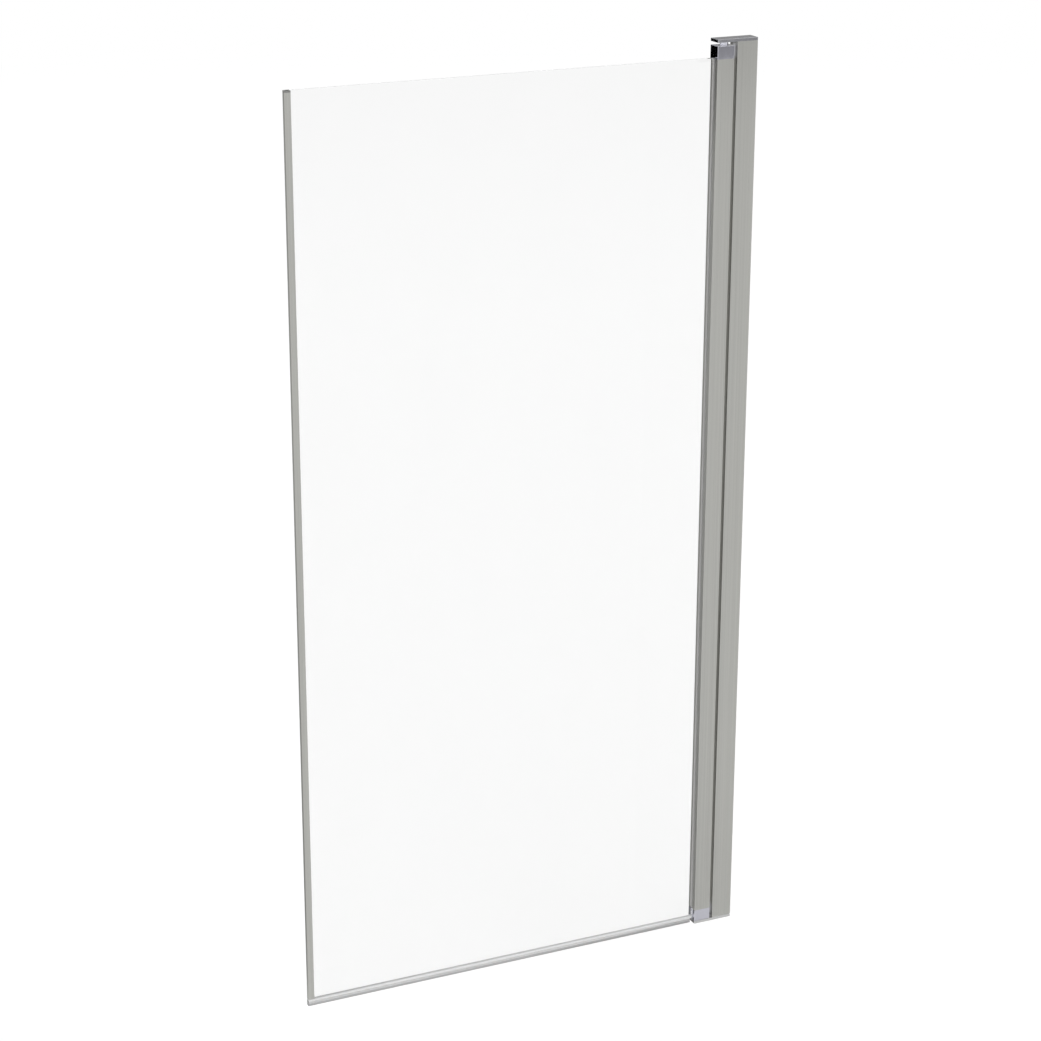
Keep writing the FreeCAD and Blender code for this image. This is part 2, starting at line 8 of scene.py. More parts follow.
import logging
import math
from dataclasses import dataclass, field
from enum import Enum
from typing import Mapping, Optional, Sequence, Union

import bmesh
import bpy
from mathutils import Matrix, Vector


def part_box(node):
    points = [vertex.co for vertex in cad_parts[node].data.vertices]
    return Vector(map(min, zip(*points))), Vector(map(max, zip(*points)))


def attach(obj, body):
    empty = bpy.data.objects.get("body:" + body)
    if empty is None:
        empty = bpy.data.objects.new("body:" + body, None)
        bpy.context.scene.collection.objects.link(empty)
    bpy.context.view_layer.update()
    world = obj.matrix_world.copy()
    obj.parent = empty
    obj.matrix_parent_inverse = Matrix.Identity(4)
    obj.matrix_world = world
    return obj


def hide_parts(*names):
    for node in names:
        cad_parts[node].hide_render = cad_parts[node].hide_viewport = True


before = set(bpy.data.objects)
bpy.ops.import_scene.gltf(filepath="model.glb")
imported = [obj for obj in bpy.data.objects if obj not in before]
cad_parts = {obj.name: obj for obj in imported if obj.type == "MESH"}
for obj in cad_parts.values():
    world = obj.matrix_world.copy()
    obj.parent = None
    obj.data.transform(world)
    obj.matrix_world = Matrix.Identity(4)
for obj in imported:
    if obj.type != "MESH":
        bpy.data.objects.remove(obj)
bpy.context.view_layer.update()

MM = 0.001
IMAGE_SIDE = 1041
RIM_LEVEL = -0.7
SEAL_HEIGHT = 13.5 * MM
SMOOTH_BELOW = math.radians(35.0)

Colour = tuple[float, float, float]
Size = tuple[float, float, float]
Point = tuple[float, float]

WHITE: Colour = (1.0, 1.0, 1.0)
BLACK: Colour = (0.0, 0.0, 0.0)

# Ranges: none to all, where soft noise mostly lies, and the cosines at which a face turns away.
FULL: Point = (0.0, 1.0)
NOISE_MIDDLE: Point = (0.35, 0.65)
FACING: Point = (0.90, 0.99)

log = logging.getLogger("bath_screen")


# ---- shader graphs -------------------------------------------------------------------------------
class Value:
    """A number or colour that varies over a surface. Arithmetic on it adds Math nodes."""

    def __init__(self, graph: "Graph", socket: bpy.types.NodeSocket) -> None:
        """Wraps one output socket of a node in a graph."""
        self.graph = graph
        self.socket = socket

    def _math(self, operation: str, first: "Operand", second: "Operand") -> "Value":
        """Adds the Math node of one operation on two operands."""
        return self.graph.node("ShaderNodeMath", {"operation": operation}, {0: first, 1: second})

    def __add__(self, other: "Operand") -> "Value":
        """self + other."""
        return self._math("ADD", self, other)

    def __radd__(self, other: "Operand") -> "Value":
        """other + self."""
        return self._math("ADD", other, self)

    def __sub__(self, other: "Operand") -> "Value":
        """self - other."""
        return self._math("SUBTRACT", self, other)

    def __rsub__(self, other: "Operand") -> "Value":
        """other - self."""
        return self._math("SUBTRACT", other, self)

    def __mul__(self, other: "Operand") -> "Value":
        """self * other."""
        return self._math("MULTIPLY", self, other)

    def __rmul__(self, other: "Operand") -> "Value":
        """other * self."""
        return self._math("MULTIPLY", other, self)

    def __truediv__(self, other: "Operand") -> "Value":
        """self / other."""
        return self._math("DIVIDE", self, other)

    def __rtruediv__(self, other: "Operand") -> "Value":
        """other / self."""
        return self._math("DIVIDE", other, self)

    def or_more(self, other: "Operand") -> "Value":
        """The larger of self and other."""
        return self._math("MAXIMUM", self, other)

    def about(self, level: "Operand", spread: float) -> "Value":
        """Noise from 0 to 1 turned into a value that varies by spread about a level."""
        return level + spread * (self - 0.5)

    def mixed(self, other: "Value", share: float) -> "Value":
        """A share of other and the rest of self."""
        return (1.0 - share) * self + share * other


Operand = Union[Value, float]
Tint = Union[Value, Colour]


def opaque(colour: Colour) -> tuple[float, float, float, float]:
    """A colour with full alpha, as a colour socket takes it."""
    return (*colour, 1.0)


def grey(level: float) -> tuple[float, float, float, float]:
    """A grey as a colour socket takes it."""
    return (level, level, level, 1.0)


def toned(colour: Colour, share: float) -> Colour:
    """A colour made lighter or darker by a share, and no lighter than white."""
    return tuple(min(1.0, share * c) for c in colour)


class Graph:
    """The node tree of one material or of the world."""

    def __init__(self, tree: bpy.types.NodeTree, output_kind: str) -> None:
        """Empties a tree and gives it one output node."""
        tree.nodes.clear()
        self.tree = tree
        self.output = tree.nodes.new(output_kind)

    def node(
        self,
        kind: str,
        settings: Optional[Mapping[str, object]] = None,
        inputs: Optional[Mapping[Union[int, str], object]] = None,
        output: Union[int, str] = 0,
    ) -> Value:
        """Adds any node.

        Args:
            kind: The node's type name.
            settings: Its own options, set before its sockets, with "stops" for a ramp's.
            inputs: Numbers, colours or links of its sockets, by name or number.
            output: The name or number of the output that is wanted.

        Returns:
            That output, wrapped.
        """
        made = self.tree.nodes.new(kind)
        for option, choice in (settings or {}).items():
            if option == "stops":
                self.set_stops(made.color_ramp, choice)
            else:
                setattr(made, option, choice)
        for key, given in (inputs or {}).items():
            if isinstance(given, Value):
                self.tree.links.new(given.socket, made.inputs[key])
            else:
                made.inputs[key].default_value = given
        return Value(self, made.outputs[output])

    @staticmethod
    def set_stops(ramp: bpy.types.ColorRamp, stops: Sequence[Point]) -> None:
        """Gives a ramp grey stops, each a position and a level, in rising order."""
        ramp.elements.remove(ramp.elements[1])
        for number, (position, level) in enumerate(stops):
            stop = ramp.elements.new(position) if number else ramp.elements[0]
            stop.position = position
            stop.color = grey(level)

    def place(self) -> Value:
        """The point on the surface, in metres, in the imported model's frame at rest."""
        return self.node("ShaderNodeTexCoord", output="Object")

    def stretched(self, pitch: Size) -> Value:
        """The point on the surface, counted in steps of pitch along each axis.

        Args:
            pitch: Length of one step along X, Y and Z, in metres.

        Returns:
            A vector for a texture's Vector socket.
        """
        inputs = {0: self.place(), 1: tuple(1.0 / step for step in pitch)}
        return self.node("ShaderNodeVectorMath", {"operation": "MULTIPLY"}, inputs)

    def noise(self, pitch: Union[float, Size], detail: float = 2.0) -> Value:
        """Soft noise from 0 to 1 whose lumps are about as long as pitch, along each axis."""
        steps = (pitch,) * 3 if isinstance(pitch, float) else pitch
        inputs = {"Vector": self.stretched(steps), "Scale": 1.0, "Detail": detail}
        return self.node("ShaderNodeTexNoise", None, inputs)

    def remap(self, value: Value, low: Point, high: Point) -> Value:
        """Value moved from the range low to the range high, and held inside it.

        Args:
            value: What is moved.
            low: The two ends that value has.
            high: The two ends that it gets.

        Returns:
            The moved value.
        """
        inputs = {0: value, 1: low[0], 2: low[1], 3: high[0], 4: high[1]}
        return self.node("ShaderNodeMapRange", {"clamp": True}, inputs)

    def blend(self, factor: Value, first: Tint, second: Tint) -> Value:
        """Colour that goes from first to second with factor."""
        ends = [end if isinstance(end, Value) else opaque(end) for end in (first, second)]
        inputs = {0: factor, 6: ends[0], 7: ends[1]}
        return self.node("ShaderNodeMix", {"data_type": "RGBA"}, inputs, 2)

    def bump(self, height: Value, distance: float) -> Value:
        """Surface normal over a height field.

        Args:
            height: The field, from 0 to 1.
            distance: What a height of 1 stands for, in metres.

        Returns:
            A normal for a shader's Normal socket.
        """
        inputs = {"Height": height, "Distance": distance, "Strength": 1.0}
        return self.node("ShaderNodeBump", None, inputs)

    def axis(self, vector: Value, number: int) -> Value:
        """One component of a vector: 0, 1 or 2."""
        return self.node("ShaderNodeSeparateXYZ", None, {0: vector}, number)

    def facing(self, number: int, levels: Point = FULL) -> Value:
        """Goes from levels[0] to levels[1] where the surface faces along its object's axis."""
        normal = self.node("ShaderNodeTexCoord", output="Normal")
        turned = {0: self.axis(normal, number)}
        along = self.node("ShaderNodeMath", {"operation": "ABSOLUTE"}, turned)
        return self.remap(along, FACING, levels)

    def ray(self, *kinds: "Ray") -> Value:
        """1 for rays of any of these kinds and 0 for the rest."""
        found = [self.node("ShaderNodeLightPath", output=kind.value) for kind in kinds]
        total = found[0]
        for one in found[1:]:
            total = total.or_more(one)
        return total

    def bounced(self, kind: "Bounce", times: int) -> Value:
        """1 for rays with more than this many bounces of a kind and 0 for the rest."""
        count = self.node("ShaderNodeLightPath", output=kind.value)
        return self.remap(count, (float(times), times + 1.0), FULL)

    def either(self, factor: Value, first: Value, second: Value) -> Value:
        """Shader that goes from first to second with factor."""
        return self.node("ShaderNodeMixShader", None, {0: factor, 1: first, 2: second})

    def principled(self, inputs: Mapping[str, object]) -> Value:
        """Principled shader with these numbers, colours and links."""
        return self.node("ShaderNodeBsdfPrincipled", None, inputs)

    def open_way(self, share: float) -> Value:
        """Shader that lets this share of the light straight through."""
        return self.node("ShaderNodeBsdfTransparent", None, {"Color": grey(share)})

    def glow(self, strength: Operand) -> Value:
        """White shader of this strength that gives light and reflects none."""
        return self.node("ShaderNodeEmission", None, {"Strength": strength})

    def show(self, shader: Value) -> None:
        """Sends a shader to the output."""
        self.tree.links.new(shader.socket, self.output.inputs["Surface"])


class Ray(Enum):
    """Kinds of ray that a stage surface or the glass tells apart."""

    CAMERA = "Is Camera Ray"
    GLOSSY = "Is Glossy Ray"
    TRANSMISSION = "Is Transmission Ray"
    SHADOW = "Is Shadow Ray"


class Bounce(Enum):
    """Kinds of bounce that are counted along a ray's way."""

    ANY = "Ray Depth"
    GLOSSY = "Glossy Depth"


SEEN = (Ray.CAMERA, Ray.GLOSSY, Ray.TRANSMISSION)


# ---- finishes ------------------------------------------------------------------------------------
@dataclass(frozen=True)
class Finish:
    """A finish, made into a material the first time it is asked for."""

    name: str

    def shader(self, graph: Graph) -> Value:
        """The finish's shader, built in an empty graph."""
        raise NotImplementedError

    def material(self) -> bpy.types.Material:
        """The finish's material, under a name that no packed material has."""
        name = self.name + "_finish"
        made = bpy.data.materials.get(name)
        if made is None:
            made = bpy.data.materials.new(name)
            made.use_nodes = True
            graph = Graph(made.node_tree, "ShaderNodeOutputMaterial")
            graph.show(self.shader(graph))
        return made


@dataclass(frozen=True)
class DrawnAluminium(Finish):
    """Extruded and anodised: die lines along its length, a matt grain and a tone that drifts."""

    colour: Colour
    roughness: float
    tone: float = 0.05
    line_width: float = 0.45 * MM
    line_length: float = 260 * MM
    line_depth: float = 0.004 * MM
    line_roughness: float = 0.10
    band_share: float = 0.65
    grain: float = 0.18 * MM
    grain_share: float = 0.25
    grain_roughness: float = 0.06

    def shader(self, graph: Graph) -> Value:
        """Lines and grain in bump and roughness, slow drift in the colour."""
        width, length = self.line_width, self.line_length
        lines = graph.noise((width, width, length), detail=3.0)
        bands = graph.noise((6 * width, 6 * width, 4 * length), detail=1.0)
        grain = graph.noise(self.grain)
        drift = graph.remap(lines.mixed(bands, self.band_share), NOISE_MIDDLE, FULL)
        dark, light = toned(self.colour, 1 - self.tone), toned(self.colour, 1 + self.tone)
        rough = lines.about(self.roughness, self.line_roughness)
        return graph.principled({
            "Base Color": graph.blend(drift, dark, light),
            "Metallic": 1.0,
            "Roughness": grain.about(rough, self.grain_roughness),
            "Normal": graph.bump(lines.mixed(grain, self.grain_share), self.line_depth),
        })


@dataclass(frozen=True)
class Plate(Finish):
    """Bright plating: smooth, with a faint orange peel, hair scratches and wiped smudges.

    Attributes:
        smudge_roughness: What a smudge adds to the roughness.
        smudge_levels: Noise levels between which a smudge sets in.
        smudge_tone: Tone of a full smudge, as a share.
        smudge_cover: How much of that tone shows.
        hair_levels: Noise levels between which a hair scratch sets in.
    """

    colour: Colour
    roughness: float
    peel: float = 1.6 * MM
    peel_depth: float = 0.0006 * MM
    smudge_size: Size = (9 * MM, 9 * MM, 14 * MM)
    smudge_roughness: float = 0.05
    smudge_levels: Point = (0.45, 0.75)
    smudge_tone: float = 0.93
    smudge_cover: float = 0.5
    hair_size: Size = (14 * MM, 14 * MM, 0.05 * MM)
    hair_roughness: float = 0.03
    hair_levels: Point = (0.70, 0.80)

    def shader(self, graph: Graph) -> Value:
        """Peel in the bump, smudges and scratches in the roughness."""
        peel = graph.noise(self.peel, detail=1.0)
        worn = graph.remap(graph.noise(self.smudge_size, detail=4.0), self.smudge_levels, FULL)
        fine = graph.remap(graph.noise(self.hair_size, detail=1.0), self.hair_levels, FULL)
        dull = toned(self.colour, self.smudge_tone)
        rough = self.roughness + self.smudge_roughness * worn + self.hair_roughness * fine
        return graph.principled({
            "Base Color": graph.blend(self.smudge_cover * worn, self.colour, dull),
            "Metallic": 1.0,
            "Roughness": rough,
            "Normal": graph.bump(peel, self.peel_depth),
        })


@dataclass(frozen=True)
class ZincPlate(Finish):
    """Bright zinc with a passivated film that shifts between a cold and a warm tint."""

    cold: Colour
    warm: Colour
    roughness: float = 0.3
    film: float = 3 * MM
    crystal: float = 0.25 * MM
    crystal_depth: float = 0.003 * MM
    crystal_roughness: float = 0.12

    def shader(self, graph: Graph) -> Value:
        """Film tint in the colour, crystals in roughness and bump."""
        crystals = graph.noise(self.crystal, detail=3.0)
        tint = graph.remap(graph.noise(self.film), NOISE_MIDDLE, FULL)
        return graph.principled({
            "Base Color": graph.blend(tint, self.cold, self.warm),
            "Metallic": 1.0,
            "Roughness": crystals.about(self.roughness, self.crystal_roughness),
            "Normal": graph.bump(crystals, self.crystal_depth),
        })


@dataclass(frozen=True)
class TurnedSteel(Finish):
    """Stainless bar turned on a lathe: close rings round its axis."""

    colour: Colour
    roughness: float = 0.22
    ring_size: Size = (40 * MM, 40 * MM, 0.12 * MM)
    ring_depth: float = 0.004 * MM
    ring_roughness: float = 0.1
    ring_tone: float = 0.9

    def shader(self, graph: Graph) -> Value:
        """Rings in bump, roughness and colour."""
        rings = graph.noise(self.ring_size)
        return graph.principled({
            "Base Color": graph.blend(rings, toned(self.colour, self.ring_tone), self.colour),
            "Metallic": 1.0,
            "Roughness": rings.about(self.roughness, self.ring_roughness),
            "Normal": graph.bump(rings, self.ring_depth),
        })


@dataclass(frozen=True)
class Moulding(Finish):
    """Moulded or extruded plastic or rubber: a fine skin grain and a slow change of tone.

    Attributes:
        drift: Length over which the tone changes.
        drift_share: Its share of the change of tone, of which grain has the rest.
        stretch: How many times longer grain and drift are along X.
        light_reach: How far light spreads inside.
    """

    colour: Colour
    roughness: float
    tone: float = 0.04
    grain: float = 0.2 * MM
    grain_depth: float = 0.004 * MM
    grain_roughness: float = 0.15
    drift: float = 12 * MM
    drift_share: float = 0.6
    stretch: float = 1.0
    translucency: float = 0.0
    light_reach: float = 1.5 * MM

    def shader(self, graph: Graph) -> Value:
        """Grain in bump and roughness, tone in the colour."""
        fine = graph.noise((self.grain * self.stretch, self.grain, self.grain), detail=3.0)
        slow = graph.noise((self.drift * self.stretch, self.drift, self.drift))
        dark, light = toned(self.colour, 1 - self.tone), toned(self.colour, 1 + self.tone)
        return graph.principled({
            "Base Color": graph.blend(fine.mixed(slow, self.drift_share), dark, light),
            "Roughness": fine.about(self.roughness, self.grain_roughness),
            "Subsurface Weight": self.translucency,
            "Subsurface Radius": WHITE,
            "Subsurface Scale": self.light_reach,
            "Normal": graph.bump(fine, self.grain_depth),
        })


@dataclass(frozen=True)
class ClearPane(Finish):
    """Toughened float glass: faces with a trace of roller wave and film, and ground edges.

    Attributes:
        face: Tint of the faces.
        edge: Tint of the edges.
        edge_clearness: Share of light that goes straight through the edges.
        shadow_clearness: Share of a lamp's light that each surface lets through.
        free_bounces: Bounces after which light that the faces would trap is let out.
        film_levels: Noise levels between which the film sets in.
        film_tone: Tone of a full film, as a share.
        film_cover: How much of that tone shows at most.
    """

    face: Colour
    edge: Colour
    edge_roughness: float = 0.12
    edge_clearness: float = 0.85
    shadow_clearness: float = 0.957
    free_bounces: int = 2
    index: float = 1.5
    film_size: Size = (90 * MM, 90 * MM, 160 * MM)
    film_levels: Point = (0.45, 0.8)
    film_tone: float = 0.985
    film_cover: float = 0.5
    grind: float = 0.3 * MM
    grind_roughness: float = 0.1
    wave: float = 320 * MM
    wave_depth: float = 0.02 * MM

    def shader(self, graph: Graph) -> Value:
        """Glass with an open way for lamps, for most light on its edges and for trapped light."""
        face = graph.facing(1)
        cover = (0.0, self.film_cover)
        film = graph.remap(graph.noise(self.film_size, detail=4.0), self.film_levels, cover)
        filmed = graph.blend(film, self.face, toned(self.face, self.film_tone))
        rough = graph.noise(self.grind).about(self.edge_roughness, self.grind_roughness)
        glass = graph.principled({
            "Base Color": graph.blend(face, self.edge, filmed),
            "Roughness": (1.0 - face) * rough,
            "IOR": self.index,
            "Transmission Weight": 1.0,
            "Normal": graph.bump(graph.noise(self.wave, detail=0.0), self.wave_depth),
        })
        straight = graph.ray(Ray.SHADOW).or_more(self.edge_clearness * (1.0 - face))
        straight = straight.or_more(graph.bounced(Bounce.ANY, self.free_bounces))
        return graph.either(straight, glass, graph.open_way(self.shadow_clearness))


@dataclass(frozen=True)
class ClearExtrusion(Finish):
    """Soft clear plastic in a level run, with painted shade at its lips, foot and cut ends and a
    painted highlight band between.

    Attributes:
        foot: Height of its lowest line above the origin.
        height: Its height.
        bands: Shares of its height and the painted shading at each: painted shade at the foot and
            lips, a painted highlight band in the middle.
        cut_end_shade: Painted shade on the cut ends, as a share of the colour.
        shadow_clearness: Share of a lamp's light that each surface lets through.
    """

    colour: Colour
    roughness: float
    clearness: float
    foot: float
    height: float
    bands: tuple[Point, ...]
    cut_end_shade: float
    index: float = 1.45
    shadow_clearness: float = 0.8
    line_size: Size = (180 * MM, 0.5 * MM, 0.5 * MM)
    line_depth: float = 0.01 * MM
    line_roughness: float = 0.1
    haze_size: Size = (25 * MM, 2 * MM, 2 * MM)
    haze_tone: float = 0.06

    def shader(self, graph: Graph) -> Value:
        """Flow lines in bump and roughness; haze, painted shade and highlight bands by height and
        painted shade on the cut ends in the colour.
        """
        lines = graph.noise(self.line_size)
        haze = graph.noise(self.haze_size, detail=3.0)
        level = graph.axis(graph.place(), 2)
        share = graph.remap(level, (self.foot, self.foot + self.height), FULL)
        # Painted shading by height: darker at the foot and the lips, a painted highlight band in
        # the middle.
        painted_shading = graph.node("ShaderNodeValToRGB", {"stops": self.bands}, {0: share})
        # Painted shading by height, painted shade on the cut ends that face along X, and random
        # haze.
        tone = painted_shading * graph.facing(0, (1.0, self.cut_end_shade)) * haze.about(1.0, self.haze_tone)
        plastic = graph.principled({
            "Base Color": graph.blend(tone, BLACK, self.colour),
            "Roughness": lines.about(self.roughness, self.line_roughness),
            "IOR": self.index,
            "Transmission Weight": self.clearness,
            "Normal": graph.bump(lines, self.line_depth),
        })
        return graph.either(graph.ray(Ray.SHADOW), plastic, graph.open_way(self.shadow_clearness))


SATIN_ALUMINIUM = DrawnAluminium("satin_aluminium", (0.48, 0.48, 0.455), 0.3)
MILL_ALUMINIUM = DrawnAluminium("mill_aluminium", (0.60, 0.60, 0.59), 0.42, line_width=0.7 * MM)
CHROME = Plate("chrome_fittings", (0.69, 0.69, 0.76), 0.06)
COVER_CHROME = Plate("chrome_cover", (0.52, 0.52, 0.55), 0.14)
BASE_CHROME = Plate("chrome_base", (0.73, 0.73, 0.725), 0.08)
ZINC = ZincPlate("zinc_steel", (0.58, 0.60, 0.64), (0.64, 0.62, 0.55))
PIN_STEEL = TurnedSteel("pin_steel", (0.56, 0.56, 0.57))
ACETAL = Moulding("white_acetal", (0.82, 0.82, 0.79), 0.42, translucency=0.3)
GREY_PLASTIC = Moulding("grey_plastic", (0.25, 0.25, 0.24), 0.4)
CLEAR_GLASS = ClearPane("clear_glass", (0.937, 0.938, 0.937), (0.80, 0.86, 0.84))
GASKET = Moulding("grey_gasket", (0.53, 0.53, 0.52), 0.35, stretch=20.0)
SILICONE = Moulding("silicone", (0.72, 0.72, 0.71), 0.3, translucency=0.5)
CLEAR_SEAL = ClearExtrusion(
    "clear_seal",
    WHITE,
    roughness=0.28,
    clearness=0.3,
    foot=RIM_LEVEL,
    height=SEAL_HEIGHT,
    # Painted shading by height: painted shade low and high, a painted highlight band round the
    # middle.
    bands=(
        (0.0, 0.56), (0.22, 0.62), (0.36, 0.80), (0.55, 0.86),
        (0.66, 1.0), (0.76, 0.98), (0.86, 0.70), (1.0, 0.64),
    ),
    # Painted shade on the cut ends.
    cut_end_shade=0.3,
)


# ---- meshes --------------------------------------------------------------------------------------
class Outline:
    """A closed section drawn point by point and arc by arc, in metres."""

    def __init__(self) -> None:
        """Starts with no points."""
        self.points: list[Point] = []

    def to(self, *points: Point) -> "Outline":
        """Goes on to these points in turn."""
        self.points.extend(points)
        return self

    def arc(self, centre: Point, radius: float, start: float, end: float, steps: int) -> "Outline":
        """Goes on round an arc.

        Args:
            centre: The arc's centre.
            radius: Its radius.
            start: The angle where it begins, in degrees.
            end: The angle where it stops, in degrees.
            steps: Number of straight steps along it.

        Returns:
            The outline itself.
        """
        for i in range(steps + 1):
            turn = math.radians(start + (end - start) * i / steps)
            x = centre[0] + radius * math.cos(turn)
            y = centre[1] + radius * math.sin(turn)
            self.points.append((x, y))
        return self


class Run(Enum):
    """Direction in which a section is drawn out."""

    ALONG_X = "x"
    UP_Z = "z"

    def place(self, section: Point, distance: float) -> Vector:
        """A section's point at a distance along the run."""
        if self is Run.ALONG_X:
            return Vector((distance, section[0], section[1]))
        return Vector((section[0], section[1], distance))


def finished_object(name: str, bm: bmesh.types.BMesh) -> bpy.types.Object:
    """Makes an object of a mesh, smooth but for its sharp edges.

    Args:
        name: The object's name.
        bm: The mesh, which is used up.

    Returns:
        The object, linked to the scene.
    """
    bmesh.ops.recalc_face_normals(bm, faces=bm.faces)
    mesh = bpy.data.meshes.new(name)
    bm.to_mesh(mesh)
    bm.free()
    mesh.shade_smooth()
    mesh.set_sharp_from_angle(angle=SMOOTH_BELOW)
    made = bpy.data.objects.new(name, mesh)
    bpy.context.scene.collection.objects.link(made)
    return made


def drawn_out(
    name: str, loops: Sequence[Sequence[Point]], run: Run, start: float, end: float
) -> bpy.types.Object:
    """Extrusion of a section.

    Args:
        name: The object's name.
        loops: The section's outer loop, then any holes.
        run: The direction of the extrusion.
        start: Where it begins along the run.
        end: Where it stops.

    Returns:
        The extrusion as a closed mesh.
    """
    bm = bmesh.new()
    edges = []
    for loop in loops:
        corners = [bm.verts.new(run.place(point, start)) for point in loop]
        for here, there in zip(corners, corners[1:] + corners[:1]):
            edges.append(bm.edges.new((here, there)))
    bmesh.ops.triangle_fill(bm, use_beauty=True, edges=edges)
    made = bmesh.ops.extrude_face_region(bm, geom=bm.faces[:])
    moved = [item for item in made["geom"] if isinstance(item, bmesh.types.BMVert)]
    along = run.place((0.0, 0.0), end) - run.place((0.0, 0.0), start)
    bmesh.ops.translate(bm, verts=moved, vec=along)
    return finished_object(name, bm)


def cut_away(piece: bpy.types.Object, tools: Sequence[bpy.types.Object]) -> bpy.types.Object:
    """Takes the space of some tools out of a piece, and removes the tools.

    Args:
        piece: What is cut.
        tools: Closed meshes.

    Returns:
        The piece, with its mesh replaced.
    """
    for tool in tools:
        cut = piece.modifiers.new("cut", "BOOLEAN")
        cut.operation = "DIFFERENCE"
        cut.solver = "EXACT"
        cut.object = tool
    evaluated = piece.evaluated_get(bpy.context.evaluated_depsgraph_get())
    mesh = bpy.data.meshes.new_from_object(evaluated)
    piece.modifiers.clear()
    piece.data = mesh
    for tool in tools:
        bpy.data.objects.remove(tool)
    return piece


def box_tool(low: Vector, high: Vector) -> bpy.types.Object:
    """Box between two corners, for cutting."""
    bm = bmesh.new()
    middle = Matrix.Translation((low + high) / 2)
    size = Matrix.Diagonal((*(high - low), 1.0))
    bmesh.ops.create_cube(bm, size=1.0, matrix=middle @ size)
    return finished_object("tool", bm)


def paint(piece: bpy.types.Object, finish: Finish) -> None:
    """Gives every slot of a piece one finish."""
    made = finish.material()
    if not piece.data.materials:
        piece.data.materials.append(made)
    for slot in piece.material_slots:
        slot.material = made


def node_object(name: str) -> bpy.types.Object:
    """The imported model's object for a node."""
    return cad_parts[name]


# ---- screws --------------------------------------------------------------------------------------
@dataclass(frozen=True)
class CrossScrew:
    """Countersunk screw with a cross recess and a rolled thread.

    Attributes:
        ridge_half: Half the width of the thread's ridge, in pitches.
        point: Length over which the shank narrows to the point.
        wing_taper: Size of the recess at its foot, as a share.
    """

    head_radius: float = 2.6 * MM
    head_land: float = 0.15 * MM
    head_height: float = 1.6 * MM
    crest_radius: float = 1.25 * MM
    root_radius: float = 0.95 * MM
    pitch: float = 1.3 * MM
    ridge_half: float = 0.35
    length: float = 30.0 * MM
    point: float = 3.0 * MM
    point_radius: float = 0.3 * MM
    wing_length: float = 2.9 * MM
    wing_width: float = 0.6 * MM
    wing_depth: float = 1.3 * MM
    wing_taper: float = 0.4
    segments: int = 16
    rings_per_turn: int = 5

    def radius(self, depth: float, turn: float) -> float:
        """Radius of the threaded shank.

        Args:
            depth: Distance below the head's face.
            turn: Place round the shank, in turns.

        Returns:
            The radius, which falls away at the point.
        """
        phase = (depth / self.pitch - turn) % 1.0
        ridge = max(0.0, 1.0 - abs(phase - 0.5) / self.ridge_half)
        full = self.root_radius + (self.crest_radius - self.root_radius) * ridge
        left = min(1.0, (self.length - depth) / self.point)
        return self.point_radius + (full - self.point_radius) * left

    def rings(self) -> list[list[Point]]:
        """The screw's surface as rings of depth and radius, from the head to the point."""
        turns = [j / self.segments for j in range(self.segments)]
        head = ((0.0, self.head_radius), (self.head_land, self.head_radius))
        rings = [[(depth, radius)] * self.segments for depth, radius in head]
        step = self.pitch / self.rings_per_turn
        for i in range(int((self.length - self.head_height) / step) + 1):
            depth = self.head_height + i * step
            rings.append([(depth, self.radius(depth, turn)) for turn in turns])
        return rings

    def shape(self, bm: bmesh.types.BMesh, face: Vector, sense: float) -> None:
        """Adds the screw to a mesh.

        Args:
            bm: The mesh.
            face: The middle of the head's face.
            sense: 1 where the screw points up and -1 where it points down.
        """
        loops = []
        for ring in self.rings():
            loop = []
            for j, (depth, radius) in enumerate(ring):
                turn = math.tau * j / self.segments
                offset = Vector((radius * math.cos(turn), radius * math.sin(turn), sense * depth))
                loop.append(bm.verts.new(face + offset))
            loops.append(loop)
        for upper, lower in zip(loops, loops[1:]):
            for j in range(self.segments):
                k = (j + 1) % self.segments
                bm.faces.new((upper[j], upper[k], lower[k], lower[j]))
        bm.faces.new(loops[0])
        bm.faces.new(loops[-1])

    def wing(self, face: Vector, sense: float, crosswise: bool) -> bpy.types.Object:
        """Tool for one slot of the cross, narrower at its foot."""
        length, width = self.wing_length / 2, self.wing_width / 2
        if crosswise:
            length, width = width, length
        bm = bmesh.new()
        corners = []
        for depth, share in ((-self.head_land, 1.0), (self.wing_depth, self.wing_taper)):
            for x, y in ((-1, -1), (1, -1), (1, 1), (-1, 1)):
                offset = Vector((x * length * share, y * width * share, sense * depth))
                corners.append(bm.verts.new(face + offset))
        sides = [(i, (i + 1) % 4, (i + 1) % 4 + 4, i + 4) for i in range(4)]
        for loop in ((0, 1, 2, 3), (4, 5, 6, 7), *sides):
            bm.faces.new([corners[i] for i in loop])
        return finished_object("wing", bm)

    def pair(self, name: str, low: Vector, high: Vector, heads_up: bool) -> bpy.types.Object:
        """Two screws at opposite corners of a box.

        Args:
            name: The object's name.
            low: The box's low corner.
            high: Its high corner.
            heads_up: Whether the heads are at the top of the box.

        Returns:
            Both screws as one piece.
        """
        level, sense = (high.z, -1.0) if heads_up else (low.z, 1.0)
        reach = self.head_radius
        faces = [
            Vector((low.x + reach, low.y + reach, level)),
            Vector((high.x - reach, high.y - reach, level)),
        ]
        bm = bmesh.new()
        for face in faces:
            self.shape(bm, face, sense)
        screws = finished_object(name, bm)
        ways = (False, True)
        return cut_away(screws, [self.wing(face, sense, way) for face in faces for way in ways])


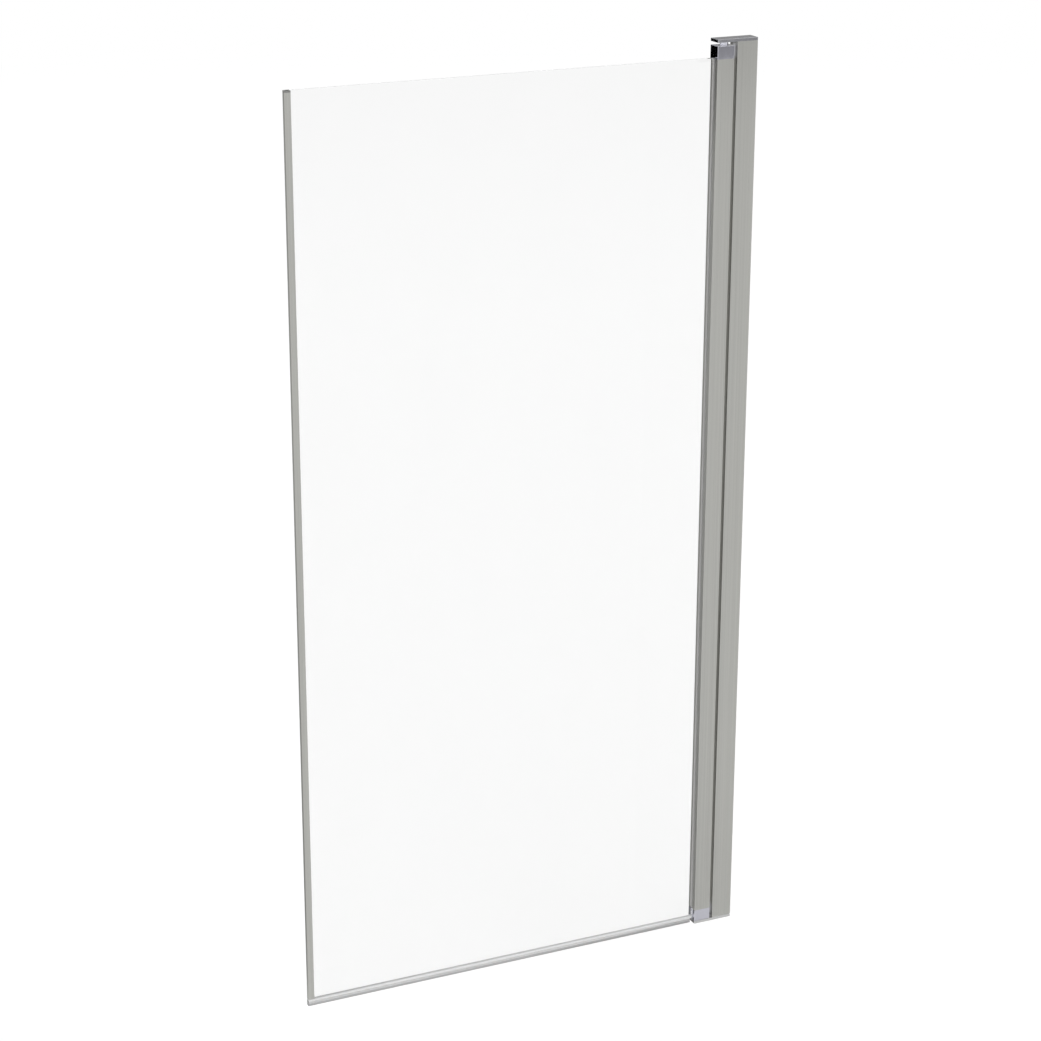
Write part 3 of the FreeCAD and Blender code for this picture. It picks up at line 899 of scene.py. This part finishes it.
# ---- sub-assemblies ------------------------------------------------------------------------------
@dataclass
class SubAssembly:
    """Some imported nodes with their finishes, and the pieces that stand for some of them."""

    title: str
    body: str
    finishes: dict[str, Finish]

    def build(self) -> list[bpy.types.Object]:
        """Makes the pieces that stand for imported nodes."""
        return []

    def dress(self) -> None:
        """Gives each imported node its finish."""
        for name, finish in self.finishes.items():
            paint(node_object(name), finish)
            log.info("%s: %s in %s", self.title, name, finish.name)

    def stand_in(self, piece: bpy.types.Object, node: str) -> bpy.types.Object:
        """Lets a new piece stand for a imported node, in that node's finish.

        Args:
            piece: The new piece, already in place.
            node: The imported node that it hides.

        Returns:
            The piece.
        """
        finish = self.finishes[node]
        paint(piece, finish)
        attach(piece, self.body)
        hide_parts(node)
        log.info("%s: %s stands for %s", self.title, piece.name, node)
        return piece

    def screws(self, node: str, heads_up: bool) -> bpy.types.Object:
        """Two cross-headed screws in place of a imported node's."""
        low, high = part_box(node)
        return self.stand_in(CrossScrew().pair("cross_" + node, low, high, heads_up), node)


@dataclass
class Post(SubAssembly):
    """Post on the wall channel, with its brackets and their screws."""

    def build(self) -> list[bpy.types.Object]:
        """Makes the screws of both brackets."""
        return [
            self.screws("top_bracket_screws", heads_up=True),
            self.screws("bottom_bracket_screws", heads_up=False),
        ]


@dataclass
class Door(SubAssembly):
    """Glass, its profile and trim, and the seal and wedge gasket that are drawn anew.

    Heights are above the rim, and halves are measured from the glass's mid-plane.

    Attributes:
        slot_floor: Height of the foot of the slot for the glass.
        web_bottom: Height where the jaws meet the bulb's sides.
        step_height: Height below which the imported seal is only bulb.
        trim_gap_below: Room under the edge trim.
        trim_gap_beside: Room beside the edge trim.
        bead_reach: How far the wedge gasket's bead stands out from its flat sides.
        bead_steps: Number of straight steps round the bead.
        wedge_taper: Length over which the wedge narrows at its inner end.
    """

    slot_half: float = 2.5 * MM
    jaw_tip_half: float = 3.3 * MM
    jaw_root_half: float = 3.6 * MM
    lip_radius: float = 0.4 * MM
    slot_floor: float = 8.4 * MM
    front_jaw_top: float = SEAL_HEIGHT
    rear_jaw_top: float = 9.6 * MM
    bulb_radius: float = 3.5 * MM
    bulb_wall: float = 0.8 * MM
    foot_radius: float = 0.6 * MM
    web_bottom: float = 7.0 * MM
    step_height: float = 3.0 * MM
    trim_gap_below: float = 0.3 * MM
    trim_gap_beside: float = 0.2 * MM
    bead_reach: float = 0.6 * MM
    bead_steps: int = 9
    wedge_taper: float = 3.0 * MM

    def build(self) -> list[bpy.types.Object]:
        """Makes the seal, the wedge gasket and the screws of both blocks."""
        return [
            self.stand_in(self.seal(), "bottom_seal"),
            self.stand_in(self.wedge(), "rear_gasket"),
            self.screws("top_block_screws", heads_up=True),
            self.screws("bottom_block_screws", heads_up=False),
        ]

    def seal(self) -> bpy.types.Object:
        """Seal with slim jaws on the glass, the rear one lower, and a hollow bulb below."""
        low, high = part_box("bottom_seal")
        rim = low.z
        tip = (self.slot_half + self.jaw_tip_half) / 2
        heel = self.jaw_root_half - self.foot_radius
        outer = Outline()
        outer.to((self.slot_half, self.slot_floor))
        outer.arc((tip, self.rear_jaw_top - self.lip_radius), self.lip_radius, 180, 0, 6)
        outer.to((self.jaw_root_half, self.web_bottom))
        outer.arc((heel, self.foot_radius), self.foot_radius, 0, -90, 8)
        outer.arc((-heel, self.foot_radius), self.foot_radius, -90, -180, 8)
        outer.to((-self.jaw_root_half, self.web_bottom))
        outer.arc((-tip, self.front_jaw_top - self.lip_radius), self.lip_radius, 180, 0, 6)
        outer.to((-self.slot_half, self.slot_floor))
        # A closed circle, so its arc stops a step short of 360 degrees.
        bore = Outline().arc((0.0, self.bulb_radius), self.bulb_radius - self.bulb_wall, 0, 345, 23)
        loops = [[(y, z + rim) for y, z in drawn.points] for drawn in (outer, bore)]
        seal = drawn_out("seal_extrusion", loops, Run.ALONG_X, low.x, high.x)
        trim_low, trim_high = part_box("edge_trim")
        trim_space = box_tool(
            Vector((trim_low.x - MM, low.y - MM, trim_low.z - self.trim_gap_below)),
            Vector((trim_high.x + self.trim_gap_beside, high.y + MM, high.z + MM)),
        )
        bracket_space = box_tool(
            Vector((self.swept_edge(), low.y - MM, low.z - MM)),
            Vector((high.x + MM, high.y + MM, rim + self.web_bottom)),
        )
        return cut_away(seal, [trim_space, bracket_space])

    def swept_edge(self) -> float:
        """Where the bulb ends beside the bottom bracket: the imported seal's own step."""
        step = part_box("bottom_seal")[0].z + self.step_height
        vertices = node_object("bottom_seal").data.vertices
        return max(vertex.co.x for vertex in vertices if vertex.co.z < step)

    def wedge(self) -> bpy.types.Object:
        """Wedge gasket with a rounded bead at the pocket's mouth."""
        low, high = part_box("rear_gasket")
        front, back = low.y, high.y
        middle, bead = (front + back) / 2, (back - front) / 2
        mouth = low.x + self.bead_reach
        section = Outline().to((high.x - self.wedge_taper, front), (high.x, back), (mouth, back))
        for i in range(1, self.bead_steps + 1):
            turn = math.radians(90 + 180 / self.bead_steps * i)
            y = middle + bead * math.sin(turn)
            section.to((mouth + self.bead_reach * math.cos(turn), y))
        return drawn_out("wedge_gasket", [section.points], Run.UP_Z, low.z, high.z)


# ---- stage ---------------------------------------------------------------------------------------
@dataclass(frozen=True)
class FloorFinish(Finish):
    """Pale floor: matt and shadowed round the screen, and plain white further off.

    Attributes:
        albedo: Grey of the matt floor.
        lift: Glow added to it for rays that are seen.
        fade: Distances between which it turns plain white.
        far_glow: Glow of the plain white for rays that aren't seen.
    """

    albedo: float
    lift: float
    fade: Point
    far_glow: float

    def shader(self, graph: Graph) -> Value:
        """Lit floor with its lift, fading to white with distance."""
        lengths = {"operation": "LENGTH"}
        distance = graph.node("ShaderNodeVectorMath", lengths, {0: graph.place()}, "Value")
        seen = graph.ray(*SEEN)
        matt = graph.node("ShaderNodeBsdfDiffuse", None, {"Color": grey(self.albedo)})
        lit = graph.node("ShaderNodeAddShader", None, {0: matt, 1: graph.glow(self.lift * seen)})
        white = graph.glow(graph.remap(seen, FULL, (self.far_glow, 1.0)))
        return graph.either(graph.remap(distance, self.fade, FULL), lit, white)


@dataclass(frozen=True)
class CardFinish(Finish):
    """Card whose tone changes with height, and which only rays that have been reflected can see."""

    tones: Point
    fade: Point

    def shader(self, graph: Graph) -> Value:
        """Glow from the bottom tone to the top tone, open to rays without a reflection."""
        height = graph.axis(graph.place(), 2)
        glow = graph.glow(graph.remap(height, self.fade, self.tones))
        return graph.either(graph.bounced(Bounce.GLOSSY, 0), graph.open_way(1.0), glow)


@dataclass(frozen=True)
class Card:
    """Upright card that only reflections show.

    Attributes:
        start: Where it begins, in plan.
        end: Where it stops, in plan.
        high: Height of its top.
        tones: Its tone at the bottom and at the top.
        fade: Heights between which the tone changes.
        low: Height of its foot.
    """

    name: str
    start: Point
    end: Point
    high: float
    tones: Point
    fade: Point = FULL
    low: float = -1.24

    def build(self) -> bpy.types.Object:
        """Makes the card and hides it from direct view, from matt surfaces and from lamps."""
        bm = bmesh.new()
        foot = [(*spot, self.low) for spot in (self.start, self.end)]
        top = [(*spot, self.high) for spot in (self.end, self.start)]
        bm.faces.new([bm.verts.new(corner) for corner in foot + top])
        made = finished_object(self.name, bm)
        paint(made, CardFinish(self.name, self.tones, self.fade))
        made.visible_camera = False
        made.visible_diffuse = False
        made.visible_shadow = False
        return made


@dataclass(frozen=True)
class SoftSun:
    """Even, soft light from one side.

    Attributes:
        turn: Where it comes from, in degrees from +X towards +Y.
        height: Its height above the horizon, in degrees.
        spread: How wide it looks, in degrees.
        strength: Light on a surface that faces it; pi lights white to white.
    """

    name: str
    turn: float
    height: float
    spread: float
    strength: float

    def build(self) -> bpy.types.Object:
        """Makes the lamp."""
        light = bpy.data.lights.new(self.name, "SUN")
        light.energy = self.strength
        light.angle = math.radians(self.spread)
        turn, height = math.radians(self.turn), math.radians(self.height)
        level = math.cos(height)
        source = Vector((level * math.cos(turn), level * math.sin(turn), math.sin(height)))
        made = bpy.data.objects.new(self.name, light)
        made.rotation_mode = "QUATERNION"
        made.rotation_quaternion = source.to_track_quat("Z", "Y")
        bpy.context.scene.collection.objects.link(made)
        return made


@dataclass
class Studio:
    """Floor, cards, lamps, sky and camera.

    Attributes:
        sky_light: Strength of the sky for rays that aren't seen.
        eye: The camera's place.
        pitch: How far it looks down, in degrees.
        yaw: How far it is turned from +Y towards +X, in degrees.
        focal_pixels: Its focal length, in pixels of the picture.
        axis_pixel: Where its axis meets the picture, in pixels from the top left.
    """

    floor_z: float = -1.25
    floor_half: float = 30.0
    sky_light: float = 0.44
    eye: tuple[float, float, float] = (-1.8887, -3.2890, 1.2761)
    pitch: float = 19.24
    yaw: float = 24.37
    focal_pixels: float = 2626.7
    axis_pixel: Point = (500.2, 525.7)
    cards: Sequence[Card] = field(default_factory=lambda: (
        Card("left_card", (-2.2, 1.0), (0.6, 0.8), 0.75, (0.33, 0.47), fade=(-1.1, -0.1)),
        Card("dark_card", (-0.66, 0.78), (-0.36, 0.78), 0.66, (0.0, 0.0), low=0.41),
        Card("dim_card", (-0.66, 0.78), (-0.36, 0.78), -1.10, (0.18, 0.18)),
        Card("gap_card", (0.24, 0.78), (0.60, 0.78), 0.60, (1.35, 1.35)),
        Card("front_card", (-0.60, -0.80), (0.75, -0.80), 0.85, (0.89, 0.89)),
        Card("top_card", (0.34, -0.79), (0.50, -0.79), 0.70, (0.32, 0.32), low=0.522),
        Card("low_card", (0.32, -0.79), (0.55, -0.79), -1.12, (0.70, 0.70)),
        Card("back_card", (-1.2, 3.0), (4.0, 3.0), 3.0, (0.36, 0.36), low=0.2),
    ))
    lamps: Sequence[SoftSun] = field(default_factory=lambda: (
        SoftSun("key_sun", -125.0, 48.0, 40.0, 1.1),
        SoftSun("fill_sun", -30.0, 40.0, 50.0, 0.5),
        SoftSun("rear_sun", 110.0, 45.0, 50.0, 0.35),
    ))

    def build(self) -> None:
        """Makes everything round the screen."""
        self.sky()
        self.floor()
        for part in (*self.cards, *self.lamps):
            part.build()
            log.info("studio: %s", part.name)
        self.camera()

    def sky(self) -> None:
        """World that is white where it is seen and a plain soft light elsewhere."""
        world = bpy.data.worlds.new("sky")
        world.use_nodes = True
        bpy.context.scene.world = world
        graph = Graph(world.node_tree, "ShaderNodeOutputWorld")
        level = graph.remap(graph.ray(*SEEN), FULL, (self.sky_light, 1.0))
        inputs = {"Color": opaque(WHITE), "Strength": level}
        graph.show(graph.node("ShaderNodeBackground", None, inputs))

    def floor(self) -> None:
        """Wide floor below the rim's height."""
        bm = bmesh.new()
        half = self.floor_half
        corners = ((-half, -half), (half, -half), (half, half), (-half, half))
        bm.faces.new([bm.verts.new((x, y, 0.0)) for x, y in corners])
        made = finished_object("floor", bm)
        made.location.z = self.floor_z
        paint(made, FloorFinish("pale_floor", 0.8, lift=0.33, fade=(6.0, 12.0), far_glow=0.7))

    def camera(self) -> None:
        """Camera at the photograph's place, with its axis where the photograph has it."""
        lens = bpy.data.cameras.new("camera")
        lens.lens = self.focal_pixels / IMAGE_SIDE * lens.sensor_width
        middle = IMAGE_SIDE / 2
        lens.shift_x = (middle - self.axis_pixel[0]) / IMAGE_SIDE
        lens.shift_y = (self.axis_pixel[1] - middle) / IMAGE_SIDE
        made = bpy.data.objects.new("camera", lens)
        made.location = self.eye
        made.rotation_euler = (math.radians(90 - self.pitch), 0.0, math.radians(-self.yaw))
        bpy.context.scene.collection.objects.link(made)
        bpy.context.scene.camera = made


SUB_ASSEMBLIES = (
    SubAssembly("wall fixing", "wall_fixing", {"wall_channel": MILL_ALUMINIUM}),
    Post("post", "post", {
        "wall_profile": SATIN_ALUMINIUM,
        "adjust_screws": ZINC,
        "adjust_nuts": ZINC,
        "adjust_screw_caps": GREY_PLASTIC,
        "top_bracket": ZINC,
        "top_bracket_screws": ZINC,
        "top_cover": COVER_CHROME,
        "pin_bearing": ACETAL,
        "bottom_bracket": BASE_CHROME,
        "bottom_bracket_screws": ZINC,
        "bottom_pin": PIN_STEEL,
        "fixed_cam": ACETAL,
    }),
    SubAssembly("top swivel", "top_swivel", {"top_pin": CHROME, "pin_clip": PIN_STEEL}),
    Door("door", "door", {
        "pivot_profile": SATIN_ALUMINIUM,
        "top_block": CHROME,
        "bottom_block": CHROME,
        "top_block_screws": ZINC,
        "bottom_block_screws": ZINC,
        "top_bush": ACETAL,
        "lift_cam": ACETAL,
        "glass_pane": CLEAR_GLASS,
        "front_gasket": GASKET,
        "rear_gasket": GASKET,
        "glass_packers": ACETAL,
        "edge_trim": SATIN_ALUMINIUM,
        "trim_bead": SILICONE,
        "trim_top_cap": GREY_PLASTIC,
        "bottom_seal": CLEAR_SEAL,
    }),
)


def main() -> None:
    """Dresses every sub-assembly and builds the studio."""
    logging.basicConfig(level=logging.INFO, format="%(message)s")
    bpy.context.scene.view_settings.view_transform = "Standard"
    Studio().build()
    for assembly in SUB_ASSEMBLIES:
        assembly.dress()
        for piece in assembly.build():
            log.info("%s: built %s", assembly.title, piece.name)


if __name__ == "__main__":
    main()
